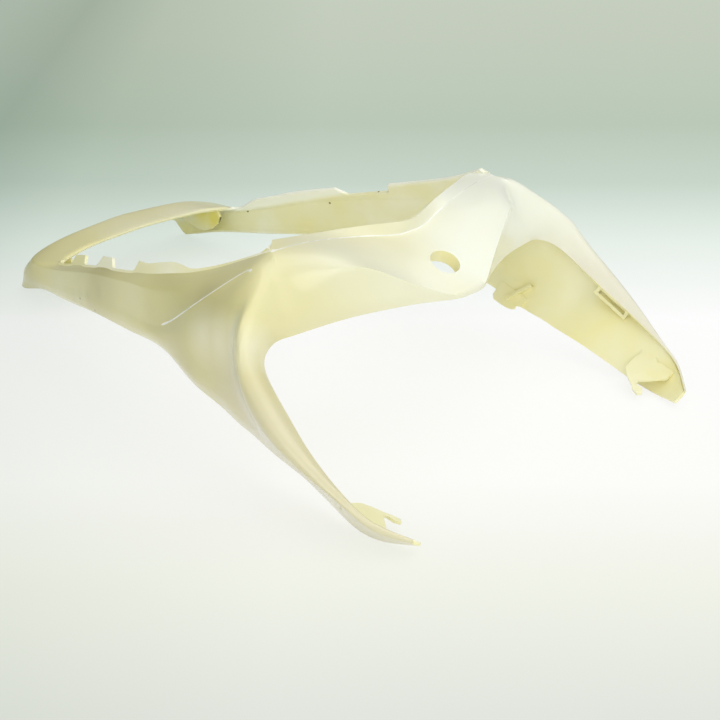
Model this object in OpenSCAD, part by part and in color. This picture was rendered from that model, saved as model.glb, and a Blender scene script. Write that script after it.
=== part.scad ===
// Motorcycle tail fairing: one thin moulding with a seat loop, a bridge with the
// seat lock hole and two arms that run forward beside the rider's seat.
// X runs forward, the arms end at +X. Y runs across, Z is up.
// The moulding rests on its two rear corners and on the hems of its arms.

/* [Overall] */
// Length from the rear corners to the ends of the flange across the seat loop
loop_l = 366; // [340:1:400]
// Length of the arms in front of the flange ends
arm_l = 166; // [150:1:190]
// Width across the rear corners
tail_w = 208; // [190:1:225]
// Width across the loop where the rails are widest
rail_w = 272; // [260:1:285]
// Width across the folds of the arms
arm_w = 324; // [312:1:340]
// Height of the flange ends, the highest part of the skin
top_h = 146; // [136:1:156]
// Height of the rear lip in the middle
lip_h = 52; // [46:1:60]
// Thickness of the moulded wall
wall = 2.5; // [2:0.1:2.8]

/* [Seat loop] */
// Height of the plain stretches of the upright flange along each rail
rim_h = 2; // [1.5:0.1:4]
// Height of the raised stretches of that flange
tooth_h = 10; // [6:0.5:12]
// Width across the ends of the V-shaped flange in front of the loop
flange_w = 220; // [210:1:230]
// Height of the V-shaped flange
flange_h = 8; // [5:0.5:12]

/* [Bridge] */
// Length from the flange ends to the front edge of the bridge
bridge_l = 80; // [74:1:88]
// Diameter of the seat lock hole
lock_d = 22; // [18:0.5:26]
// Distance of the lock hole behind the front edge of the bridge
lock_back = 25; // [20:1:30]
// Depth of the collar under the lock hole
collar_h = 9; // [5:0.5:14]
// Wall of that collar
collar_wall = 2.5; // [1.5:0.1:4]

/* [Hidden] */
overall_l = loop_l + arm_l;

// Smooth curve through a row of knots, with t counting the knots
function blend(a, b, c, d, t) =
    (2 * b + (c - a) * t + (2 * a - 5 * b + 4 * c - d) * t * t
     + (3 * b - a - 3 * c + d) * t * t * t) / 2;
function along(k, t) =
    let (n = len(k) - 1, i = min(floor(t), n - 1))
    blend(k[max(i - 1, 0)], k[i], k[i + 1], k[min(i + 2, n)], t - i);
// Cubic with given ends and end slopes
function hermite(a, da, b, db, t) =
    a * (1 + 2 * t) * (1 - t) * (1 - t) + da * t * (1 - t) * (1 - t)
    + b * t * t * (3 - 2 * t) - db * t * t * (1 - t);
function unit(v) = v / norm(v);
function mix(a, b, t) = a + (b - a) * t;
function ease(t) = let (c = min(max(t, 0), 1)) c * c * (3 - 2 * c);

// A knot near the rear lip: millimetres forward, then percent of half width and of lip height
function tail(x, y, z) = [x, y / 100 * tail_w / 2, z / 100 * lip_h];
// A knot on a rail: percent of loop length, millimetres inside the widest, percent of height
function rail(x, y, z) = [x / 100 * loop_l, rail_w / 2 - y, z / 100 * top_h];
// A knot on an arm: percent of arm length, millimetres inside the folds, percent of height
function arm(x, y, z) = [loop_l + x / 100 * arm_l, arm_w / 2 - y, z / 100 * top_h];
// A knot on the bridge: percent of its length and half width, millimetres under the top
function deck(x, y, z) = [loop_l + x / 100 * bridge_l, y / 100 * flange_w / 2, top_h - z];

// Frames of one side, from the middle of the rear lip round to the tip of the arm.
// Each row holds the rim, the brow, the style line, the swell of the side, the fold and the hem.
flange_end = deck(0, 100, 0);
frames = [
    [tail(64, 0, 100), tail(30, 0, 99), tail(20, 0, 88),
     tail(16, 0, 80), tail(12, 0, 73), tail(10, 0, 58)],
    [tail(67, 50, 98), tail(36, 56, 96), tail(26, 58, 85),
     tail(20, 60, 75), tail(14, 60, 65), tail(9, 61, 48)],
    [tail(70, 77, 92), tail(33, 85, 81), tail(22, 84, 63),
     tail(15, 83, 53), tail(8, 80, 42), tail(2, 77, 29)],
    [tail(72, 88, 88), tail(42, 97, 74), tail(32, 97, 58),
     tail(22, 95, 40), tail(13, 91, 20), tail(4, 88, 1)],
    [tail(78, 92, 86), tail(66, 97, 77), tail(60, 98, 56),
     tail(56, 98, 43), tail(52, 95, 31), tail(45, 92, 25)],
    [rail(30, 33, 38), rail(30, 28, 36), rail(29.5, 26, 27),
     rail(29, 25, 23), rail(28, 26, 19), rail(27, 29, 16)],
    [rail(43, 23, 49), rail(43, 18, 47), rail(43, 15, 36),
     rail(43, 14, 31), rail(43.5, 15, 26), rail(43, 18, 24)],
    [rail(61, 12, 62), rail(61.5, 6, 59), rail(62, 4, 43),
     rail(61.5, 3, 37), rail(61, 6, 31), rail(60, 10, 29)],
    [rail(74, 9, 72), rail(74, 1, 66), rail(75, -3, 48),
     rail(74.5, -5, 42), rail(74, -1, 36), rail(73, 4, 32)],
    [rail(88, 16, 85), rail(89, 8, 83), rail(90, -7, 75),
     rail(88, -15, 56), arm(-26, 11, 36), arm(-31, 19, 28)],
    [flange_end, arm(0, 48, 98.5), arm(0, 34, 95),
     arm(-1, 11, 77), arm(-7, 9, 35), arm(-11, 18, 24)],
    [arm(9, 50, 94), arm(9, 42, 93), arm(8.5, 31, 91),
     arm(7, 9, 76.5), arm(4, 7, 31), arm(0, 18, 20)],
    [arm(17, 43, 66), arm(15, 30, 78), arm(13, 14, 81.5),
     arm(13, -3, 73), arm(13, 7, 29), arm(9, 18, 18)],
    [arm(16, 28, 65), arm(18, 16, 72), arm(19.5, 2, 73.5),
     arm(21, -11, 64), arm(22, 6, 27), arm(18, 17, 16)],
    [arm(22, 12, 59), arm(24, 4, 62.5), arm(26, -6.5, 61.5),
     arm(28, -14.5, 51.5), arm(29, 5, 25), arm(25, 17, 14)],
    [arm(42, 5, 44), arm(43, -2, 46.5), arm(44, -10, 45.5),
     arm(44, -16, 39), arm(44, 3, 25), arm(40, 17, 11)],
    [arm(57, 1, 34), arm(57.5, -3.5, 35.5), arm(58, -8, 35),
     arm(58, -12, 31), arm(58, 0, 23), arm(56, 16, 6)],
    [arm(74, 0, 24), arm(74, -1.5, 24.5), arm(74, -3, 24),
     arm(75, -5, 22), arm(74, -1, 18), arm(71, 15, 1)],
    [arm(88, 4, 16), arm(88, 2.5, 16.5), arm(88, 1.5, 16),
     arm(88, 1, 14), arm(88, 4, 11), arm(84, 18, 0)],
    [arm(100, 20, 9), arm(100, 18.5, 9.5), arm(100, 17.5, 8.5),
     arm(100, 18, 7.5), arm(100, 20.5, 6), arm(99, 27, 3)]
];
rim_k = [for (f = frames) f[0]];
// The frames between which the bridge joins the side
join_a = 10;
join_b = 12;
// The rim turns a corner where it meets the bridge's flange and its front edge
function part_of(k, a, b) = [for (i = [a:b]) k[i]];
rim_loop = part_of(rim_k, 0, join_a);
rim_join = part_of(rim_k, join_a, join_b);
rim_arm = part_of(rim_k, join_b, len(rim_k) - 1);
function rim_at(t) =
    t <= join_a ? along(rim_loop, t)
    : t <= join_b ? along(rim_join, t - join_a)
    : along(rim_arm, t - join_b);
brow_k = [for (f = frames) f[1]];
line_k = [for (f = frames) f[2]];
swell_k = [for (f = frames) f[3]];
fold_k = [for (f = frames) f[4]];
hem_k = [for (f = frames) f[5]];

// Steps of the rail flange: frame position, height on the near and on the far side,
// as shares of the difference between plain and raised stretches
steps = [
    [0, 0, 0], [4.2, 0, 0], [4.5, 0, 0.6], [4.8, 0, 0.9], [4.9, 1, 0.9], [5.4, 1, 0.9], [5.5, 0, 1],
    [6, 0, 1], [6.1, 1, 1], [6.35, 1, 1], [6.45, 0, 1], [6.6, 0, 0], [7, 0, 0], [7.05, 1, 0],
    [7.35, 0.8, 0], [7.4, 0.8, 1], [7.5, 0.9, 1], [8.1, 1, 1], [8.4, 0, 1], [9.7, 0, 1],
    [9.9, 0, 0], [10, 0, 0]
];
function step_h(t, side) =
    let (c = side > 0 ? 2 : 1,
         i = min(max([for (k = [0:len(steps) - 2]) steps[k][0] <= t ? k : 0]), len(steps) - 2),
         f = (t - steps[i][0]) / (steps[i + 1][0] - steps[i][0]))
    rim_h + (tooth_h - rim_h) * mix(steps[i][c], steps[i + 1][c], f);
// Direction in which the rim's flange stands: forward and down at the rear lip, up along the rails
function rim_dir(t, side) =
    unit(mix([0.8, 0, -0.6], [0, -0.25 * side, 1], ease((t - 2) / 2)) + [0, -0.3 * side, 0] * ease(t / 2));

// Stations: all steps of the flange, with even spaces between them
per_frame = 3;
stations = concat(
    [for (k = [0:len(steps) - 2])
        let (a = steps[k][0], b = steps[k + 1][0], n = ceil((b - a) * per_frame - 0.01))
        for (i = [0:n - 1]) mix(a, b, i / n)],
    [for (i = [0:(len(frames) - 1 - join_a) * per_frame]) join_a + i / per_frame]
);
n_st = len(stations) - 1;
at_a = n_st - (len(frames) - 1 - join_a) * per_frame;
n_row = (join_b - join_a) * per_frame;

// Cells across a side: flange, ledge, panel above the style line, side below it, lower wall
n_ledge = 2;
n_panel = 4;
n_side = 6;
n_hem = 2;
n_col = 1 + n_ledge + n_panel + n_side + n_hem;
function side_point(t, c) =
    let (rim = rim_at(t), brow = along(brow_k, t), line = along(line_k, t),
         swell = along(swell_k, t), fold = along(fold_k, t), hem = along(hem_k, t),
         kink = 1 - ease(t - join_a + 0.6),
         flow = unit(swell - brow),
         panel_w = norm(line - brow), side_w = norm(swell - line),
         start = mix(unit(line - rim), unit(line - brow), kink) * panel_w,
         above = mix(flow, unit(line - brow), kink) * panel_w,
         below = mix(flow, unit(swell - line), kink) * side_w,
         round = unit(fold - line),
         u1 = (c - 1) / n_ledge,
         u2 = (c - 1 - n_ledge) / n_panel,
         u3 = (c - 1 - n_ledge - n_panel) / n_side,
         u4 = (c - 1 - n_ledge - n_panel - n_side) / n_hem)
    u1 <= 1 ? mix(rim, brow, u1)
    : u2 <= 1 ? hermite(brow, start, line, above, u2)
    : u3 <= 0.5 ? hermite(line, below, swell, round * side_w, 2 * u3)
    : u3 <= 1 ? hermite(swell, round * norm(fold - swell), fold, fold - swell, 2 * u3 - 1)
    : mix(fold, hem, u4);
function mirrored(p, side) = [p[0], p[1] * side, p[2]];
function side_at(i, c, side) =
    let (t = stations[i], p = mirrored(side_point(t, max(c, 1)), side))
    c > 0 ? p : p + step_h(t, side) * rim_dir(t, side);

// Bridge: columns of knots from the side to the middle, each with the foot of the
// flange, the middle of the deck, the crease above the front face and the front edge
deck_k = [
    [deck(5, 73, 0), deck(31, 73, 1), deck(55, 73, 5), deck(53, 73, 44)],
    [deck(16, 36, flange_h / 2 + 1), deck(49, 36, 13), deck(81, 36, 25), deck(79, 36, 40)],
    [deck(25, 13, flange_h + 1), deck(62, 13, 20), deck(99, 13, 36), deck(98, 13, 39)],
    [deck(26, 0, flange_h + 1.5), deck(62, 0, 20), deck(100, 0, 36), deck(100, 0, 39)]
];
// The flange's upper edge stays level: set well back at its ends, upright at its apex
flange_k = [deck(-17, 89, -1), deck(-12, 73, 0), deck(7, 36, 0), deck(21, 13, 0.5), deck(26, 0, 1.5)];
row_crease = 4;
n_deck = 12;
function deck_col(k, r) =
    r <= row_crease ? along([deck_k[k][0], deck_k[k][1], deck_k[k][2]], 2 * r / row_crease)
    : mix(deck_k[k][2], deck_k[k][3], (r - row_crease) / (n_row - row_crease));
function deck_at(r, k, side) =
    let (row = max(r, 0), last = len(deck_k),
         start = rim_at(join_a + row / per_frame),
         knots = r < 0 ? concat(flange_k, [mirrored(flange_k[last - 1], -1)])
             : concat([start], [for (m = [0:last - 1]) deck_col(m, row)],
                      [mirrored(deck_col(last - 2, row), -1)]),
         t = k / n_deck * last,
         i = min(floor(t), last - 1),
         p = blend(knots[max(i - 1, 0)], knots[i], knots[i + 1], knots[i + 2], t - i))
    mirrored(p, side);

// One skin from both sides and the bridge. Every point has an index, and points that
// two patches share have the same one.
side_n = (n_st + 1) * (n_col + 1);
deck_n = (n_row + 2) * (n_deck + 1);
half_n = side_n + deck_n;
skin_n = 2 * half_n;
sides = [-1, 1];
function side_id(i, c, s) = (i == 0 ? 0 : s * half_n) + i * (n_col + 1) + c;
function deck_id(r, k, s) =
    k == 0 ? side_id(at_a + max(r, 0), r < 0 ? 0 : 1, s)
    : (k == n_deck ? 0 : s * half_n) + side_n + (r + 1) * (n_deck + 1) + k;
outer = concat([for (s = [0, 1]) each concat(
    [for (i = [0:n_st]) for (c = [0:n_col])
        i == at_a && c == 0 ? deck_at(-1, 0, sides[s]) : side_at(i, c, sides[s])],
    [for (r = [-1:n_row]) for (k = [0:n_deck]) deck_at(r, k, sides[s])])]);

function grid_normal(a, b, c, d) = unit(cross(b - a, d - c));
function side_normal(i, c, s) =
    let (joined = i > at_a && i <= at_a + n_row && c == 1,
         first = i > at_a ? 1 : 0,
         back = i == 0 ? mirrored(outer[side_id(1, c, s)], -1) : outer[side_id(i - 1, c, s)],
         front = outer[side_id(min(i + 1, n_st), c, s)],
         left = joined ? outer[deck_id(i - at_a, 1, s)] : outer[side_id(i, max(c - 1, first), s)],
         right = outer[side_id(i, min(c + 1, n_col), s)])
    grid_normal(back, front, left, right) * sides[s];
function deck_normal(r, k, s) =
    let (left = outer[deck_id(r, k - 1, s)],
         right = k == n_deck ? mirrored(left, -1) : outer[deck_id(r, k + 1, s)],
         back = outer[deck_id(max(r - 1, -1), k, s)],
         front = outer[deck_id(min(r + 1, n_row), k, s)])
    grid_normal(back, front, left, right) * -sides[s];
inner = concat([for (s = [0, 1]) each concat(
    [for (i = [0:n_st]) for (c = [0:n_col])
        i > at_a && c == 0 ? [0, 0, 0] : outer[side_id(i, c, s)] - wall * side_normal(i, c, s)],
    [for (r = [-1:n_row]) for (k = [0:n_deck])
        k == 0 ? [0, 0, 0] : outer[deck_id(r, k, s)] - wall * deck_normal(r, k, s)])]);

function quad(a, b, c, d, flip) = flip ? [[a, c, b], [a, d, c]] : [[a, b, c], [a, c, d]];
function shell_quad(a, b, c, d, flip) = concat(quad(a, b, c, d, flip),
    quad(a + skin_n, b + skin_n, c + skin_n, d + skin_n, !flip));
function edge_quad(a, b, flip) = quad(a, b, b + skin_n, a + skin_n, flip);
faces = [for (s = [0, 1]) let (f = s == 1) each concat(
    [for (i = [0:n_st - 1]) for (c = [i < at_a ? 0 : 1:n_col - 1])
        each shell_quad(side_id(i, c, s), side_id(i, c + 1, s), side_id(i + 1, c + 1, s),
                        side_id(i + 1, c, s), !f)],
    [for (r = [-1:n_row - 1]) for (k = [0:n_deck - 1])
        each shell_quad(deck_id(r, k, s), deck_id(r, k + 1, s), deck_id(r + 1, k + 1, s),
                        deck_id(r + 1, k, s), f)],
    [for (i = [0:at_a - 1]) each edge_quad(side_id(i, 0, s), side_id(i + 1, 0, s), !f)],
    [for (i = [at_a + n_row:n_st - 1]) each edge_quad(side_id(i, 1, s), side_id(i + 1, 1, s), !f)],
    [for (i = [0:n_st - 1]) each edge_quad(side_id(i, n_col, s), side_id(i + 1, n_col, s), f)],
    [for (c = [1:n_col - 1]) each edge_quad(side_id(n_st, c, s), side_id(n_st, c + 1, s), !f)],
    [for (k = [0:n_deck - 1]) each edge_quad(deck_id(-1, k, s), deck_id(-1, k + 1, s), !f)],
    [for (k = [0:n_deck - 1]) each edge_quad(deck_id(n_row, k, s), deck_id(n_row, k + 1, s), f)])];

// The lowest points, the rear corners and the arms' hems, are set down on the rest plane
lowest = min([for (p = outer) p[2]]);

module skin() {
    polyhedron(points = concat(outer, inner), faces = faces, convexity = 10);
}

// The lock hole stands square to the bridge on its centre line
deck_rise = atan2(deck_k[3][0][2] - deck_k[3][2][2], deck_k[3][2][0] - deck_k[3][0][0]);
lock_share = 1 - lock_back / (deck_k[3][2][0] - deck_k[3][0][0]);
lock_at = along([deck_k[3][0], deck_k[3][1], deck_k[3][2]], 2 * lock_share);
// How far the bore's cutter reaches past the collar and the skin
bore_past = 10;
module at_lock() {
    translate(lock_at) rotate([0, deck_rise, 0]) children();
}
module lock_collar() {
    at_lock() translate([0, 0, -wall / 2 - collar_h])
        cylinder(h = collar_h, d = lock_d + 2 * collar_wall, $fn = 48);
}
module lock_bore() {
    at_lock() translate([0, 0, -collar_h - bore_past])
        cylinder(h = collar_h + 2 * bore_past, d = lock_d, $fn = 48);
}

// Both sides carry the same tabs and ribs on their inner face
module on_both_sides() {
    for (side = sides) scale([1, side, 1]) children();
}
// The hem of each arm hangs down in a rounded tab, with a rib above it up to the fold
tab_at = [loop_l - 5, arm_w / 2 - 19, top_h * 0.22];
tab_tilt = [58, 15, 0];
tab_w = 28;
tab_h = 8;
// Thickness, length and height of the ribs
rib_t = 2;
rib_l = 24;
rib_h = 6;
rib_lean = -32;
module hem_tab() {
    translate(tab_at) rotate(tab_tilt) {
        linear_extrude(wall) polygon([[-tab_w / 2, tab_h], [-tab_w / 2, 3 - tab_h], [3 - tab_w / 2, -tab_h],
            [tab_w / 2 - 9, -tab_h], [tab_w / 2 - 5, 3 - tab_h], [tab_w / 2 - 5, -2], [tab_w / 2, 0],
            [tab_w / 2, tab_h]]);
        rotate(rib_lean) translate([-rib_t / 2, -rib_t, 0]) cube([rib_t, rib_l, rib_h]);
    }
}
// A tongue with a hook reaches inboard and down from the front of each arm
tongue_at = [loop_l + arm_l * 0.79, arm_w / 2 - 12, top_h * 0.12];
tongue_tilt = [202, 8, 0];
module hook_tongue() {
    translate(tongue_at) rotate(tongue_tilt) linear_extrude(rib_t) polygon([[-15, -9.5], [-17, 0],
        [-16, 12], [-9, 19], [-2, 22], [1, 26], [7, 28], [10, 25], [7, 21], [1, 20.5], [0, 17], [5, 13],
        [16, 3], [16, -5]]);
}
// A narrow slot for a clip under the inner edge of each arm
slot_l = 26;
slot_w = 3.5;
// Width of the frame of plastic round the slot
slot_rim = 2.8;
slot_at = [loop_l + arm_l * 0.49, arm_w / 2 + 0.5, top_h * 0.353];
slot_tilt = [90, 30, 9];
module clip_slot() {
    translate(slot_at) rotate(slot_tilt) linear_extrude(rib_t) difference() {
        square([slot_l + 2 * slot_rim, slot_w + 2 * slot_rim], center = true);
        square([slot_l, slot_w], center = true);
    }
}
// A bracket plate stands inside each rear corner, under the lip
bracket_in = 24;
module corner_bracket() {
    translate([0, tail_w / 2 - bracket_in, 0]) rotate([90, 0, 0]) linear_extrude(rib_t)
        polygon([[36, 41], [66, 46], [71, 38], [68, 32], [57, 23], [40, 17], [12, 22.5], [25, 34.5]]);
}

module tail_fairing() {
    color("#efe9c8") translate([-overall_l / 2, 0, -lowest]) difference() {
        union() {
            skin();
            lock_collar();
            on_both_sides() {
                hem_tab();
                hook_tongue();
                clip_slot();
                corner_bracket();
            }
        }
        lock_bore();
    }
}

tail_fairing();
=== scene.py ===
"""The looks of a moulded motorcycle tail fairing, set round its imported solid."""

import math

import bpy
from bpy.props import (
    FloatProperty,
    FloatVectorProperty,
    IntProperty,
    PointerProperty,
    StringProperty,
)
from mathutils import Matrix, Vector


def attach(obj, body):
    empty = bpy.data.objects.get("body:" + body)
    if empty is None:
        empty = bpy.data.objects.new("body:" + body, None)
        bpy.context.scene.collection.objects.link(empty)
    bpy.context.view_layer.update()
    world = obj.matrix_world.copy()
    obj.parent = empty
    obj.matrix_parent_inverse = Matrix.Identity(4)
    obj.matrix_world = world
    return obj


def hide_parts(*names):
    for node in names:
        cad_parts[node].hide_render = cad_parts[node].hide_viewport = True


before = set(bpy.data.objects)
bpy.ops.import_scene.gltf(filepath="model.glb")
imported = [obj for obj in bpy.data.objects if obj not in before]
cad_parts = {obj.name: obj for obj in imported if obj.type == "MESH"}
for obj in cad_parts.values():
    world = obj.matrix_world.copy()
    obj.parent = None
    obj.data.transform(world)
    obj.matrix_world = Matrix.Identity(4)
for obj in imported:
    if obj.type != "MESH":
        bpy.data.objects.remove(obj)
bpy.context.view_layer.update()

bl_info = {
    "name": "Tail fairing",
    "version": (1, 0, 0),
    "blender": (4, 5, 0),
    "location": "3D View > Sidebar > Fairing",
    "description": "Builds a yellowed pearl white tail fairing and its studio",
    "category": "Add Mesh",
}

MM = 0.001
CAD_NODE = "tail_fairing"
BODY = "root"
# Material slots of the skin
BARE, PAINTED, HIGHLIGHT = range(3)

# Knots of the style line on one side, from the rail over the shoulder, in millimetres
STYLE_LINE = (
    (-39.1, 132, 62.9),
    (8.5, 139, 70.2),
    (63.4, 143, 109.7),
    (100, 128, 138.9),
    (114.1, 131, 133),
)
# Knots of the foot of the upright V-shaped flange, from its end to past its apex
FLANGE_FOOT = (
    (100, 110, 146.2),
    (100, 110, 146.2),
    (104, 80.3, 146.2),
    (112.8, 39.6, 141.2),
    (120, 14.3, 137.2),
    (120.8, 0, 136.7),
    (120, -14.3, 137.2),
)
POINTS_PER_KNOT = 60
# A vertex that is nearer than this lies on a line
LINE_REACH = 0.6 * MM
# The softening fades out over this distance before a line
LINE_MARGIN = 12 * MM
# Height of the fold under the arm, in metres
FOLD_HEIGHT = 0.052
# Where along X the fold starts to drop, and the slope that each place adds
FOLD_DROPS = ((0.08, 0.19), (0.17, 0.1))
# Where the rounding begins and over what length it grows, in metres: over the fold, ahead
# of the rail, behind the arm's tip and outside the loop
OVER_FOLD = (0.004, 0.02)
AHEAD_OF_RAIL = (0.055, 0.04)
BEHIND_TIP = (0.235, 0.03)
OUTSIDE_LOOP = (0.105, 0.012)
# Corners of the rounded edge of the loop's bracket, in millimetres
BRACKET_EDGE = (
    (-200.7, 65.7, 49.7),
    (-195, 78.9, 38.2),
    (-197.9, 79.8, 32.3),
    (-208.6, 79.7, 23.5),
)
DOTS_PER_CORNER = 5
# Places above the bridge's painted top and beside a tooth of the seat flange, in millimetres
ABOVE_BRIDGE = (120, 30, 300)
BESIDE_TOOTH = (-121.3, 200, 68.3)
# Which way the shoulders are lifted on the left side
LIFT = (0, 0.8, 0.6)
# The lamps point at this place, in metres
LAMP_AIM = (0, 0, 0.05)
# Width of the camera's sensor, in millimetres
SENSOR_WIDTH = 36
# How much of the floor's seen colour is glow, and not light that falls on it
SEEN_GLOW = 0.8


def hex_colour(value):
    """Turn an sRGB hex value into a linear colour with alpha."""
    parts = [int(value[i : i + 2], 16) / 255 for i in (1, 3, 5)]
    linear = [p / 12.92 if p <= 0.04045 else ((p + 0.055) / 1.055) ** 2.4 for p in parts]
    return (*linear, 1.0)


def add_node(tree, kind, settings=None, inputs=None, stops=None):
    """Add a node with its settings, its plain or linked inputs and its ramp's stops."""
    node = tree.nodes.new(kind)
    for name, value in (settings or {}).items():
        setattr(node, name, value)
    for name, value in (inputs or {}).items():
        if isinstance(value, bpy.types.NodeSocket):
            tree.links.new(value, node.inputs[name])
        else:
            node.inputs[name].default_value = value
    if stops:
        elements = node.color_ramp.elements
        while len(elements) < len(stops):
            elements.new(0.5)
        for element, (place, value) in zip(elements, stops):
            element.position = place
            element.color = hex_colour(value)
    return node


def new_material(name):
    """A material with an empty tree, and its output node."""
    material = bpy.data.materials.new(name)
    material.use_nodes = True
    tree = material.node_tree
    tree.nodes.clear()
    return material, tree, add_node(tree, "ShaderNodeOutputMaterial")


def marks(tree, place, dots, softness):
    """How much a place is covered by the given round marks: centre and radius in millimetres."""
    covered = 0.0
    for centre, radius in dots:
        away = add_node(
            tree,
            "ShaderNodeVectorMath",
            {"operation": "DISTANCE"},
            {0: place, 1: Vector(centre) * MM},
        ).outputs["Value"]
        mark = add_node(
            tree,
            "ShaderNodeMapRange",
            inputs={
                "Value": away,
                "From Min": radius * MM * (1 - softness),
                "From Max": radius * MM,
                "To Min": 1.0,
                "To Max": 0.0,
            },
        ).outputs["Result"]
        covered = add_node(
            tree, "ShaderNodeMath", {"operation": "MAXIMUM"}, {0: mark, 1: covered}
        ).outputs["Value"]
    return covered


class FairingFinish(bpy.types.PropertyGroup):
    """Sizes and colours of the moulding's finish."""

    sharp_angle: FloatProperty(
        name="Sharp angle",
        description="Edges that turn by more than this stay crisp",
        default=math.radians(38),
        subtype="ANGLE",
    )
    layer_angle: FloatProperty(
        name="Layer angle",
        description="The painted and the bare face end at edges sharper than this",
        default=math.radians(65),
        subtype="ANGLE",
    )
    tooth_angle: FloatProperty(
        name="Tooth angle",
        description="The bare strip with the teeth ends at edges sharper than this",
        default=math.radians(12),
        subtype="ANGLE",
    )
    rounds: IntProperty(
        name="Smoothing rounds",
        description="How often the faces of the skin are divided",
        default=2,
        min=1,
        max=2,
    )
    soften_rounds: IntProperty(
        name="Softening rounds",
        description="How far the bend of the shoulders and arms is spread",
        default=12,
    )
    shoulder_lift: FloatProperty(
        name="Shoulder lift",
        description="How far the shoulders bulge before they are softened, to keep their outline",
        default=2.5 * MM,
        unit="LENGTH",
    )
    line_width: FloatProperty(
        name="Style line width",
        description="Width of the narrow chamfer along the style line",
        default=1.1 * MM,
        unit="LENGTH",
    )
    # Also the colour of the painted light on the left side, and the base of the painted highlight
    # on the style line
    lacquer_pale: StringProperty(
        name="Pale lacquer",
        description="Pearl lacquer where it has kept its colour",
        default="#eff0e1",
    )
    lacquer: StringProperty(
        name="Lacquer",
        description="Pearl lacquer on most of the skin",
        default="#eae7c8",
    )
    # Also the colour of the painted shade to the right and the rear
    lacquer_yellow_and_shade: StringProperty(
        name="Aged lacquer",
        description="Pearl lacquer where it has yellowed",
        default="#e0d9a0",
    )
    bare: StringProperty(
        name="Bare plastic",
        description="Unpainted plastic on the inner face",
        default="#f3eec7",
    )


class FairingStudio(bpy.types.PropertyGroup):
    """Camera, floor and lamps."""

    camera_place: FloatVectorProperty(
        name="Camera place",
        description="Where the camera stands, in front of the right arm",
        default=(0.7823, -0.6838, 0.5092),
        subtype="XYZ",
        unit="LENGTH",
    )
    camera_aim: FloatVectorProperty(
        name="Camera aim",
        description="The point in the middle of the picture",
        default=(0.0072, 0.0597, -0.0260),
        subtype="XYZ",
        unit="LENGTH",
    )
    lens: FloatProperty(
        name="Lens",
        description="Focal length of the camera, in millimetres",
        default=72.5,
        unit="CAMERA",
    )
    floor_size: FloatProperty(
        name="Floor size",
        description="Length of one side of the floor",
        default=9.0,
        unit="LENGTH",
    )
    key_power: FloatProperty(
        name="Key lamp",
        description="Power of the large lamp overhead",
        default=11.5,
        unit="POWER",
    )
    fill_power: FloatProperty(
        name="Fill lamp",
        description="Power of the lamp in front of the arms",
        default=2.0,
        unit="POWER",
    )
    side_power: FloatProperty(
        name="Side lamp",
        description="Power of the lamp beside the camera",
        default=4.8,
        unit="POWER",
    )
    ambient: FloatProperty(
        name="Ambient light",
        description="Strength of the even light all round",
        default=0.58,
    )


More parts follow.
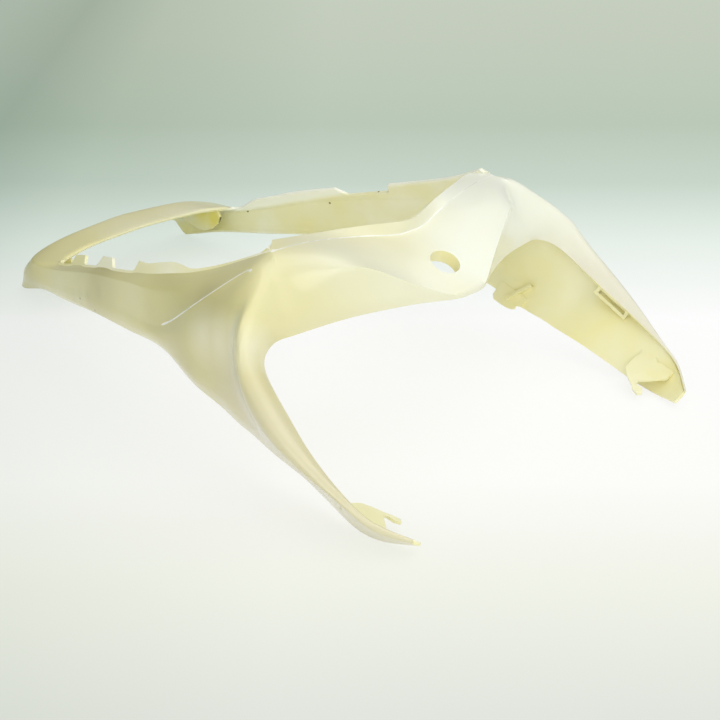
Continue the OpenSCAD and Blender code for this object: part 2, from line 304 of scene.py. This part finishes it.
def pearl_lacquer(finish):
    """Pearl white lacquer sprayed on moulded ABS.

    It is glossy, with the soft depth of a clear coat. Age has turned it cream in patches, and
    it is painted darker and more yellow to the right and the rear, as painted shade, and paler
    to the left, as painted light. Use has left grey rubs and specks on the right rail. A pale
    patch on the right shoulder is a painted reflection, and the low front of the arms is painted
    greyer.
    """
    material, tree, output = new_material("PearlLacquerOnABS")
    place = add_node(tree, "ShaderNodeTexCoord").outputs["Object"]
    # Patches of yellowing are about a hand wide
    patches = add_node(
        tree, "ShaderNodeTexNoise", inputs={"Vector": place, "Scale": 8.0, "Detail": 2.0}
    ).outputs["Fac"]
    parts = add_node(tree, "ShaderNodeSeparateXYZ", inputs={"Vector": place})
    # Painted light and shade: the left side is painted paler, and the right side darker and more
    # yellow
    side_light_and_shade = add_node(
        tree,
        "ShaderNodeMapRange",
        inputs={
            "Value": parts.outputs["Y"],
            "From Min": -0.16,
            "From Max": 0.16,
            "To Min": 0.25,
            "To Max": -0.4,
        },
    ).outputs["Result"]
    # Painted shade: the rear is painted darker and more yellow
    rear_shade = add_node(
        tree,
        "ShaderNodeMapRange",
        inputs={
            "Value": parts.outputs["X"],
            "From Min": 0.16,
            "From Max": -0.16,
            "To Min": -0.02,
            "To Max": 0.28,
        },
    ).outputs["Result"]
    yellowing_and_shade = add_node(
        tree, "ShaderNodeMath", {"operation": "ADD"}, {0: patches, 1: side_light_and_shade}
    ).outputs["Value"]
    yellowing_and_shade = add_node(
        tree, "ShaderNodeMath", {"operation": "ADD"}, {0: yellowing_and_shade, 1: rear_shade}
    ).outputs["Value"]
    # The ramp colours the yellowing patches together with the painted light and shade
    cream_and_shade = add_node(
        tree,
        "ShaderNodeValToRGB",
        inputs={"Fac": yellowing_and_shade},
        stops=[
            (0.25, finish.lacquer_pale),
            (0.5, finish.lacquer),
            (0.8, finish.lacquer_yellow_and_shade),
            (1.0, "#cdc58b"),
        ],
    ).outputs["Color"]
    # Rubs are broken up by a grain of about two millimetres
    grain = add_node(
        tree, "ShaderNodeTexNoise", inputs={"Vector": place, "Scale": 420.0, "Detail": 2.0}
    ).outputs["Fac"]
    rubs = marks(
        tree,
        place,
        [
            ((-140, -115, 35), 9),
            ((-127, -118, 41), 11),
            ((-111, -121, 49), 10),
            ((-92, -123, 60), 8),
        ],
        0.9,
    )
    rubbed = add_node(
        tree, "ShaderNodeMath", {"operation": "MULTIPLY"}, {0: rubs, 1: grain}
    ).outputs["Value"]
    faint = add_node(
        tree, "ShaderNodeMath", {"operation": "MULTIPLY"}, {0: rubbed, 1: 0.3}
    ).outputs["Value"]
    dulled = add_node(
        tree,
        "ShaderNodeMix",
        {"data_type": "RGBA"},
        {"Factor": faint, "A": cream_and_shade, "B": hex_colour("#9aa08c")},
    )
    specks = marks(
        tree,
        place,
        [((-127.3, -118.1, 41.4), 1.1), ((-100.3, -122.5, 41.3), 0.9), ((-84, -124, 52), 0.6)],
        0.3,
    )
    speckled = add_node(
        tree,
        "ShaderNodeMix",
        {"data_type": "RGBA"},
        {"Factor": specks, "A": dulled.outputs[2], "B": hex_colour("#77765c")},
    )
    # The low front of the arms is painted greyer
    ahead = add_node(
        tree,
        "ShaderNodeMapRange",
        inputs={"Value": parts.outputs["X"], "From Min": 0.06, "From Max": 0.13, "To Max": 0.65},
    ).outputs["Result"]
    low = add_node(
        tree,
        "ShaderNodeMapRange",
        inputs={"Value": parts.outputs["Z"], "From Min": 0.115, "From Max": 0.07},
    ).outputs["Result"]
    low_front_grey = add_node(
        tree, "ShaderNodeMath", {"operation": "MULTIPLY"}, {0: ahead, 1: low}
    ).outputs["Value"]
    greyed_low_front = add_node(
        tree,
        "ShaderNodeMix",
        {"data_type": "RGBA"},
        {"Factor": low_front_grey, "A": speckled.outputs[2], "B": hex_colour("#d8d0b9")},
    )
    # A painted reflection: the knuckle of the right shoulder is painted pale over some eight
    # centimetres
    painted_reflection = marks(
        tree,
        place,
        [
            ((76, -153, 90), 26),
            ((94, -154, 93), 26),
            ((114, -157, 98), 26),
            ((132, -157, 103), 22),
        ],
        1.0,
    )
    painted_reflection = add_node(
        tree, "ShaderNodeMath", {"operation": "MULTIPLY"}, {0: painted_reflection, 1: 0.45}
    ).outputs["Value"]
    with_painted_reflection = add_node(
        tree,
        "ShaderNodeMix",
        {"data_type": "RGBA"},
        {"Factor": painted_reflection, "A": greyed_low_front.outputs[2], "B": hex_colour("#fbf9ea")},
    )
    roughness = add_node(
        tree,
        "ShaderNodeMapRange",
        inputs={"Value": patches, "From Min": 0.3, "From Max": 0.7, "To Min": 0.3, "To Max": 0.4},
    ).outputs["Result"]
    # Orange peel of sprayed lacquer has waves about three millimetres long
    peel = add_node(
        tree, "ShaderNodeTexNoise", inputs={"Vector": place, "Scale": 330.0, "Detail": 1.0}
    ).outputs["Fac"]
    bump = add_node(
        tree,
        "ShaderNodeBump",
        inputs={"Height": peel, "Strength": 0.05, "Distance": 0.2 * MM},
    ).outputs["Normal"]
    shader = add_node(
        tree,
        "ShaderNodeBsdfPrincipled",
        inputs={
            "Base Color": with_painted_reflection.outputs[2],
            "Roughness": roughness,
            "IOR": 1.5,
            "Coat Weight": 0.6,
            "Coat Roughness": 0.1,
            "Subsurface Weight": 0.2,
            "Subsurface Radius": (1.0, 0.9, 0.6),
            "Subsurface Scale": 3 * MM,
            "Normal": bump,
        },
    )
    tree.links.new(shader.outputs["BSDF"], output.inputs["Surface"])
    return material


def bare_plastic(finish):
    """Bare injection-moulded ABS on the inner face.

    It is satin and lets some light through, and is yellower than the painted side. The
    flange of the left rail is painted paler as painted light, and the left bracket is yellower
    with a dark edge.
    """
    material, tree, output = new_material("BareMouldedABS")
    place = add_node(tree, "ShaderNodeTexCoord").outputs["Object"]
    # The melt leaves faint clouds about six centimetres wide
    clouds = add_node(
        tree, "ShaderNodeTexNoise", inputs={"Vector": place, "Scale": 16.0, "Detail": 3.0}
    ).outputs["Fac"]
    base = add_node(
        tree,
        "ShaderNodeValToRGB",
        inputs={"Fac": clouds},
        stops=[(0.3, "#f0e8ae"), (0.52, finish.bare), (0.75, "#f9f7df")],
    ).outputs["Color"]
    # The flange of the left rail, above a slanting line, is painted paler as painted light
    above = add_node(
        tree, "ShaderNodeVectorMath", {"operation": "DOT_PRODUCT"}, {0: place, 1: (-0.36, 0, 1)}
    ).outputs["Value"]
    above = add_node(
        tree, "ShaderNodeMapRange", inputs={"Value": above, "From Min": 0.108, "From Max": 0.112}
    ).outputs["Result"]
    left = add_node(tree, "ShaderNodeSeparateXYZ", inputs={"Vector": place}).outputs["Y"]
    left = add_node(
        tree, "ShaderNodeMapRange", inputs={"Value": left, "From Min": 0.07, "From Max": 0.09}
    ).outputs["Result"]
    painted_flange_light = add_node(
        tree, "ShaderNodeMath", {"operation": "MULTIPLY"}, {0: above, 1: left}
    ).outputs["Value"]
    base = add_node(
        tree,
        "ShaderNodeMix",
        {"data_type": "RGBA"},
        {"Factor": painted_flange_light, "A": base, "B": hex_colour("#fffee9")},
    ).outputs[2]
    # The left bracket is a deeper yellow than the wall behind it
    yellowed = marks(
        tree,
        place,
        [((-204, 77, 36), 20), ((-222, 75, 39), 20), ((-236, 70, 44), 16)],
        0.8,
    )
    base = add_node(
        tree,
        "ShaderNodeMix",
        {"data_type": "RGBA"},
        {"Factor": yellowed, "A": base, "B": hex_colour("#efe27c")},
    ).outputs[2]
    # A few specks of dirt lie along the left rail, and a dark line is painted on the bracket's
    # edge
    dirt = marks(
        tree,
        place,
        [((-36.4, 123.3, 94), 1.2), ((-92.5, 119, 69.9), 1.2), ((-183.6, 101.3, 42.3), 1.4)],
        0.4,
    )
    specked_and_edged = add_node(
        tree,
        "ShaderNodeMix",
        {"data_type": "RGBA"},
        {"Factor": dirt, "A": base, "B": hex_colour("#7a6a2c")},
    )
    edge = [
        Vector(first).lerp(Vector(second), step / DOTS_PER_CORNER)
        for first, second in zip(BRACKET_EDGE, BRACKET_EDGE[1:])
        for step in range(DOTS_PER_CORNER)
    ]
    bracket_edge_dark = marks(tree, place, [(dot, 1.7) for dot in edge], 0.5)
    specked_and_edged = add_node(
        tree,
        "ShaderNodeMix",
        {"data_type": "RGBA"},
        {"Factor": bracket_edge_dark, "A": specked_and_edged.outputs[2], "B": hex_colour("#5c5528")},
    )
    # A spark-eroded mould gives a fine even grain, drawn at a millimetre to show
    grain = add_node(
        tree, "ShaderNodeTexNoise", inputs={"Vector": place, "Scale": 900.0, "Detail": 1.0}
    ).outputs["Fac"]
    bump = add_node(
        tree,
        "ShaderNodeBump",
        inputs={"Height": grain, "Strength": 0.08, "Distance": 0.1 * MM},
    ).outputs["Normal"]
    roughness = add_node(
        tree,
        "ShaderNodeMapRange",
        inputs={"Value": clouds, "From Min": 0.3, "From Max": 0.7, "To Min": 0.4, "To Max": 0.52},
    ).outputs["Result"]
    shader = add_node(
        tree,
        "ShaderNodeBsdfPrincipled",
        inputs={
            "Base Color": specked_and_edged.outputs[2],
            "Roughness": roughness,
            "IOR": 1.53,
            "Subsurface Weight": 0.3,
            "Subsurface Radius": (1.0, 0.95, 0.7),
            "Subsurface Scale": 5 * MM,
            "Normal": bump,
        },
    )
    tree.links.new(shader.outputs["BSDF"], output.inputs["Surface"])
    return material


def highlight_line(finish):
    """Pearl lacquer on the style line, painted pale as a painted highlight.

    The crisp line is painted paler than the panels, and it is smoother.
    """
    material, tree, output = new_material("LacquerPaintedHighlight")
    place = add_node(tree, "ShaderNodeTexCoord").outputs["Object"]
    # The painted highlight comes and goes every centimetre or so
    highlight_breaks = add_node(
        tree, "ShaderNodeTexNoise", inputs={"Vector": place, "Scale": 90.0, "Detail": 2.0}
    ).outputs["Fac"]
    colour = add_node(
        tree,
        "ShaderNodeValToRGB",
        inputs={"Fac": highlight_breaks},
        stops=[(0.3, finish.lacquer_pale), (0.55, "#fbfaf0")],
    ).outputs["Color"]
    roughness = add_node(
        tree, "ShaderNodeMapRange", inputs={"Value": highlight_breaks, "To Min": 0.2, "To Max": 0.35}
    ).outputs["Result"]
    shader = add_node(
        tree,
        "ShaderNodeBsdfPrincipled",
        inputs={"Base Color": colour, "Roughness": roughness, "IOR": 1.5, "Coat Weight": 0.8},
    )
    tree.links.new(shader.outputs["BSDF"], output.inputs["Surface"])
    return material


def studio_paper(studio):
    """Smooth white paper with a painted pool of light: white under the object, and grey green far
    behind it and dimmer to one side.

    Only the camera and the gloss see its glow, so it lights nothing and keeps the shadow.
    """
    material, tree, output = new_material("StudioPaper")
    place = add_node(tree, "ShaderNodeTexCoord").outputs["Object"]
    ahead = (Vector(studio.camera_aim) - Vector(studio.camera_place)).to_2d().normalized()
    depth = add_node(
        tree,
        "ShaderNodeVectorMath",
        {"operation": "DOT_PRODUCT"},
        {0: place, 1: (ahead.x, ahead.y, 0.0)},
    ).outputs["Value"]
    aside = add_node(
        tree,
        "ShaderNodeVectorMath",
        {"operation": "DOT_PRODUCT"},
        {0: place, 1: (-ahead.y, ahead.x, 0.0)},
    ).outputs["Value"]
    depth_share = add_node(
        tree, "ShaderNodeMapRange", inputs={"Value": depth, "From Min": -0.6, "From Max": 1.4}
    ).outputs["Result"]
    aside_share = add_node(
        tree, "ShaderNodeMapRange", inputs={"Value": aside, "From Min": 0.5, "From Max": -0.5}
    ).outputs["Result"]
    # Painted light: white under the object, fading to grey green far behind it
    along = add_node(
        tree,
        "ShaderNodeValToRGB",
        inputs={"Fac": depth_share},
        stops=[
            (0.08, "#e2e5de"),
            (0.14, "#f1f3e9"),
            (0.2, "#fdfdfa"),
            (0.33, "#ffffff"),
            (0.42, "#e8f1ea"),
            (0.5, "#cad8cc"),
            (0.6, "#bdcbbb"),
            (0.8, "#c7d0c0"),
            (1.0, "#cbd4c4"),
        ],
    ).outputs["Color"]
    # Painted shade: dimmer to one side
    dimmed = add_node(
        tree,
        "ShaderNodeValToRGB",
        inputs={"Fac": aside_share},
        stops=[(0.02, "#dde4e3"), (0.13, "#d3dad7"), (0.25, "#edf0ed"), (0.5, "#ffffff")],
    ).outputs["Color"]
    colour = add_node(
        tree,
        "ShaderNodeMix",
        {"data_type": "RGBA", "blend_type": "MULTIPLY"},
        {"Factor": 1.0, "A": along, "B": dimmed},
    ).outputs[2]
    path = add_node(tree, "ShaderNodeLightPath")
    seen = add_node(
        tree,
        "ShaderNodeMath",
        {"operation": "MAXIMUM"},
        {0: path.outputs["Is Camera Ray"], 1: path.outputs["Is Glossy Ray"]},
    ).outputs["Value"]
    seen = add_node(
        tree,
        "ShaderNodeMath",
        {"operation": "MAXIMUM"},
        {0: seen, 1: path.outputs["Is Transmission Ray"]},
    ).outputs["Value"]
    share = add_node(
        tree, "ShaderNodeMath", {"operation": "MULTIPLY"}, {0: seen, 1: SEEN_GLOW}
    ).outputs["Value"]
    paper = add_node(tree, "ShaderNodeBsdfDiffuse", inputs={"Color": colour}).outputs["BSDF"]
    glow = add_node(tree, "ShaderNodeEmission", inputs={"Color": colour}).outputs["Emission"]
    both = add_node(tree, "ShaderNodeMixShader", inputs={"Fac": share, 1: paper, 2: glow})
    tree.links.new(both.outputs["Shader"], output.inputs["Surface"])
    return material


def select_only(obj):
    """Leave obj as the one selected and active object."""
    bpy.ops.object.select_all(action="DESELECT")
    obj.select_set(True)
    bpy.context.view_layer.objects.active = obj


def curve_point(knots, share):
    """A point of the smooth curve between the two middle ones of four knots."""
    a, b, c, d = (Vector(knot) * MM for knot in knots)
    return 0.5 * (
        2 * b
        + (c - a) * share
        + (2 * a - 5 * b + 4 * c - d) * share**2
        + (3 * b - a - 3 * c + d) * share**3
    )


def line_points():
    """Close points along the style line and the flange's foot, on both sides."""
    points = []
    for knots in (STYLE_LINE, FLANGE_FOOT):
        for first in range(len(knots) - 3):
            for step in range(POINTS_PER_KNOT):
                point = curve_point(knots[first : first + 4], step / POINTS_PER_KNOT)
                points += [point, Vector((point.x, -point.y, point.z))]
    return points


def distance_to(place, points):
    """How far a place is from the nearest of the given points."""
    return min((place - point).length for point in points)


def select_line(skin, points):
    """Leave the edges that follow the given points as the selected ones."""
    near = [distance_to(vertex.co, points) < LINE_REACH for vertex in skin.data.vertices]
    for edge in skin.data.edges:
        edge.select = near[edge.vertices[0]] and near[edge.vertices[1]]
    if not any(edge.select for edge in skin.data.edges):
        raise RuntimeError("no edges on the style line and the flange's foot")


def shoulder_share(place):
    """How much a place belongs to the rounded shoulder and arm, from 0 to 1.

    All lengths are in metres, and each share grows over a few centimetres.
    """
    # The fold under the arm drops towards its tip, and more steeply near it
    fold = FOLD_HEIGHT
    for start, slope in FOLD_DROPS:
        fold -= slope * max(place.x - start, 0)
    start, length = OVER_FOLD
    above = (place.z - fold - start) / length
    start, length = AHEAD_OF_RAIL
    ahead = (place.x - start) / length
    start, length = BEHIND_TIP
    before_tip = (start - place.x) / length
    start, length = OUTSIDE_LOOP
    aside = (abs(place.y) - start) / length
    return max(0.0, min(1.0, above, ahead, before_tip, aside))


def round_shoulders(skin, points, finish):
    """Spread the bend of the shoulders and arms over more of their width.

    The selected edges, the style line and the flange's foot stay where they are.
    """
    held = {index for edge in skin.data.edges if edge.select for index in edge.vertices}
    group = skin.vertex_groups.new(name="shoulder")
    for vertex in skin.data.vertices:
        share = 0.0 if vertex.index in held else shoulder_share(vertex.co)
        share *= min(1.0, distance_to(vertex.co, points) / LINE_MARGIN)
        if share > 0:
            group.add([vertex.index], share, "REPLACE")
            lift = Vector(LIFT) * finish.shoulder_lift * share
            lift.y *= 1 if vertex.co.y > 0 else -1
            vertex.co += lift
    soften = skin.modifiers.new("Soften", "SMOOTH")
    soften.factor = 0.5
    soften.iterations = finish.soften_rounds
    soften.vertex_group = group.name
    bpy.ops.object.modifier_apply(modifier=soften.name)
    skin.vertex_groups.clear()


def give_face_from(skin, start, direction, angle, slot):
    """Give a finish to the smooth face that a ray from start, in millimetres, meets."""
    hit, _, _, seed = skin.ray_cast(Vector(start) * MM, Vector(direction))
    if not hit:
        raise RuntimeError("no skin where a face should start")
    bpy.ops.object.mode_set(mode="EDIT")
    bpy.ops.mesh.select_mode(type="FACE")
    bpy.ops.mesh.select_all(action="DESELECT")
    bpy.ops.object.mode_set(mode="OBJECT")
    skin.data.polygons[seed].select = True
    skin.data.polygons.active = seed
    bpy.ops.object.mode_set(mode="EDIT")
    bpy.ops.mesh.faces_select_linked_flat(sharpness=angle)
    skin.active_material_index = slot
    bpy.ops.object.material_slot_assign()
    bpy.ops.object.mode_set(mode="OBJECT")


class FAIRING_OT_skin(bpy.types.Operator):
    """Smooth the moulded skin, chamfer its style line and give each face its finish"""

    bl_idname = "fairing.skin"
    bl_label = "Moulded skin"

    def execute(self, context):
        finish = context.scene.fairing_finish
        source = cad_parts[CAD_NODE]
        skin = bpy.data.objects.new("fairing_skin", source.data.copy())
        context.collection.objects.link(skin)
        select_only(skin)
        skin.data.materials.clear()
        for material in (bare_plastic(finish), pearl_lacquer(finish), highlight_line(finish)):
            skin.data.materials.append(material)
        bpy.ops.object.mode_set(mode="EDIT")
        bpy.ops.mesh.select_all(action="SELECT")
        bpy.ops.mesh.remove_doubles(threshold=0.01 * MM)
        skin.active_material_index = BARE
        bpy.ops.object.material_slot_assign()
        bpy.ops.object.mode_set(mode="OBJECT")
        give_face_from(skin, ABOVE_BRIDGE, (0, 0, -1), finish.layer_angle, PAINTED)
        x, y, z = BESIDE_TOOTH
        for side in (-1, 1):
            give_face_from(skin, (x, side * y, z), (0, -side, 0), finish.tooth_angle, BARE)
        points = line_points()
        bpy.ops.object.mode_set(mode="EDIT")
        bpy.ops.mesh.select_mode(type="EDGE")
        bpy.ops.mesh.select_all(action="DESELECT")
        bpy.ops.object.mode_set(mode="OBJECT")
        select_line(skin, points)
        bpy.ops.object.mode_set(mode="EDIT")
        bpy.ops.mesh.mark_seam()
        bpy.ops.mesh.edges_select_sharp(sharpness=finish.sharp_angle)
        bpy.ops.mesh.mark_seam()
        bpy.ops.mesh.select_all(action="SELECT")
        # The limits are wide, because the seams keep the faces on both sides apart
        bpy.ops.mesh.tris_convert_to_quads(
            face_threshold=math.radians(50),
            shape_threshold=math.radians(120),
            topology_influence=2.0,
            seam=True,
        )
        bpy.ops.mesh.select_all(action="DESELECT")
        bpy.ops.mesh.edges_select_sharp(sharpness=finish.layer_angle)
        bpy.ops.object.mode_set(mode="OBJECT")
        round_shoulders(skin, points, finish)
        bpy.ops.object.mode_set(mode="EDIT")
        bpy.ops.mesh.select_all(action="DESELECT")
        bpy.ops.mesh.edges_select_sharp(sharpness=finish.sharp_angle)
        bpy.ops.transform.edge_crease(value=1.0)
        bpy.ops.mesh.select_all(action="DESELECT")
        bpy.ops.object.mode_set(mode="OBJECT")
        select_line(skin, points)
        bpy.ops.object.mode_set(mode="EDIT")
        bpy.ops.transform.edge_crease(value=1.0)
        # The chamfer on the style line takes the painted highlight
        half_width = finish.line_width / 2
        bpy.ops.mesh.bevel(offset=half_width, segments=1, affect="EDGES", material=HIGHLIGHT)
        bpy.ops.object.mode_set(mode="OBJECT")
        divide = skin.modifiers.new("Divide", "SUBSURF")
        divide.levels = finish.rounds
        divide.render_levels = finish.rounds
        bpy.ops.object.modifier_apply(modifier=divide.name)
        bpy.ops.object.shade_smooth_by_angle(angle=finish.sharp_angle)
        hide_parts(CAD_NODE)
        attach(skin, BODY)
        return {"FINISHED"}


class FAIRING_OT_stage(bpy.types.Operator):
    """Lay the paper, stand the camera and hang the lamps"""

    bl_idname = "fairing.stage"
    bl_label = "Studio"

    def execute(self, context):
        studio = context.scene.fairing_studio
        bpy.ops.object.select_all(action="DESELECT")
        bpy.ops.mesh.primitive_plane_add(size=studio.floor_size, location=(0, 0, 0))
        floor = context.active_object
        floor.name = "floor"
        floor.data.materials.append(studio_paper(studio))
        aim = Vector(studio.camera_aim)
        bpy.ops.object.camera_add(location=studio.camera_place)
        camera = context.active_object
        camera.rotation_euler = (aim - camera.location).to_track_quat("-Z", "Y").to_euler()
        camera.data.lens = studio.lens
        camera.data.sensor_width = SENSOR_WIDTH
        camera.data.clip_end = 50
        context.scene.camera = camera
        lamps = [
            ("key_lamp", (0.35, 0.6, 1.7), 2.2, studio.key_power, "#fffefb"),
            ("fill_lamp", (1.7, 0.1, 0.7), 1.3, studio.fill_power, "#fdfefc"),
            ("side_lamp", (0.8, -1.0, 0.5), 1.0, studio.side_power, "#fffdf8"),
        ]
        for name, place, size, power, colour in lamps:
            bpy.ops.object.light_add(type="AREA", location=place)
            lamp = context.active_object
            lamp.name = name
            towards = Vector(LAMP_AIM) - lamp.location
            lamp.rotation_euler = towards.to_track_quat("-Z", "Y").to_euler()
            lamp.data.size = size
            lamp.data.energy = power
            lamp.data.color = hex_colour(colour)[:3]
        world = bpy.data.worlds.new("even_light")
        world.use_nodes = True
        tree = world.node_tree
        tree.nodes.clear()
        direction = add_node(tree, "ShaderNodeTexCoord").outputs["Generated"]
        front = add_node(
            tree,
            "ShaderNodeVectorMath",
            {"operation": "DOT_PRODUCT"},
            {0: direction, 1: (0.85, 0.15, 0.5)},
        ).outputs["Value"]
        strength = add_node(
            tree,
            "ShaderNodeMapRange",
            inputs={
                "Value": front,
                "From Min": -0.8,
                "From Max": 0.8,
                "To Min": studio.ambient - 0.3,
                "To Max": studio.ambient + 0.25,
            },
        ).outputs["Result"]
        sky = add_node(
            tree,
            "ShaderNodeBackground",
            inputs={"Color": hex_colour("#f4f7f4"), "Strength": strength},
        )
        output = add_node(tree, "ShaderNodeOutputWorld")
        tree.links.new(sky.outputs["Background"], output.inputs["Surface"])
        context.scene.world = world
        context.scene.view_settings.view_transform = "Standard"
        return {"FINISHED"}


class FAIRING_PT_panel(bpy.types.Panel):
    """Shows the settings of the fairing and the buttons that build it"""

    bl_idname = "FAIRING_PT_panel"
    bl_label = "Tail fairing"
    bl_space_type = "VIEW_3D"
    bl_region_type = "UI"
    bl_category = "Fairing"

    def draw(self, context):
        layout = self.layout
        for group in (context.scene.fairing_finish, context.scene.fairing_studio):
            for name in group.__annotations__:
                layout.prop(group, name)
        for operator in OPERATORS:
            layout.operator(operator.bl_idname)


GROUPS = (FairingFinish, FairingStudio)
OPERATORS = (FAIRING_OT_skin, FAIRING_OT_stage)


def register():
    """Register the groups, operators and panel."""
    for item in (*GROUPS, *OPERATORS, FAIRING_PT_panel):
        bpy.utils.register_class(item)
    bpy.types.Scene.fairing_finish = PointerProperty(type=FairingFinish)
    bpy.types.Scene.fairing_studio = PointerProperty(type=FairingStudio)


def unregister():
    """Take the groups, operators and panel away again."""
    del bpy.types.Scene.fairing_studio
    del bpy.types.Scene.fairing_finish
    for item in reversed((*GROUPS, *OPERATORS, FAIRING_PT_panel)):
        bpy.utils.unregister_class(item)


def main():
    """Build the pieces and the stage."""
    register()
    bpy.ops.fairing.skin()
    bpy.ops.fairing.stage()


if __name__ == "__main__":
    main()
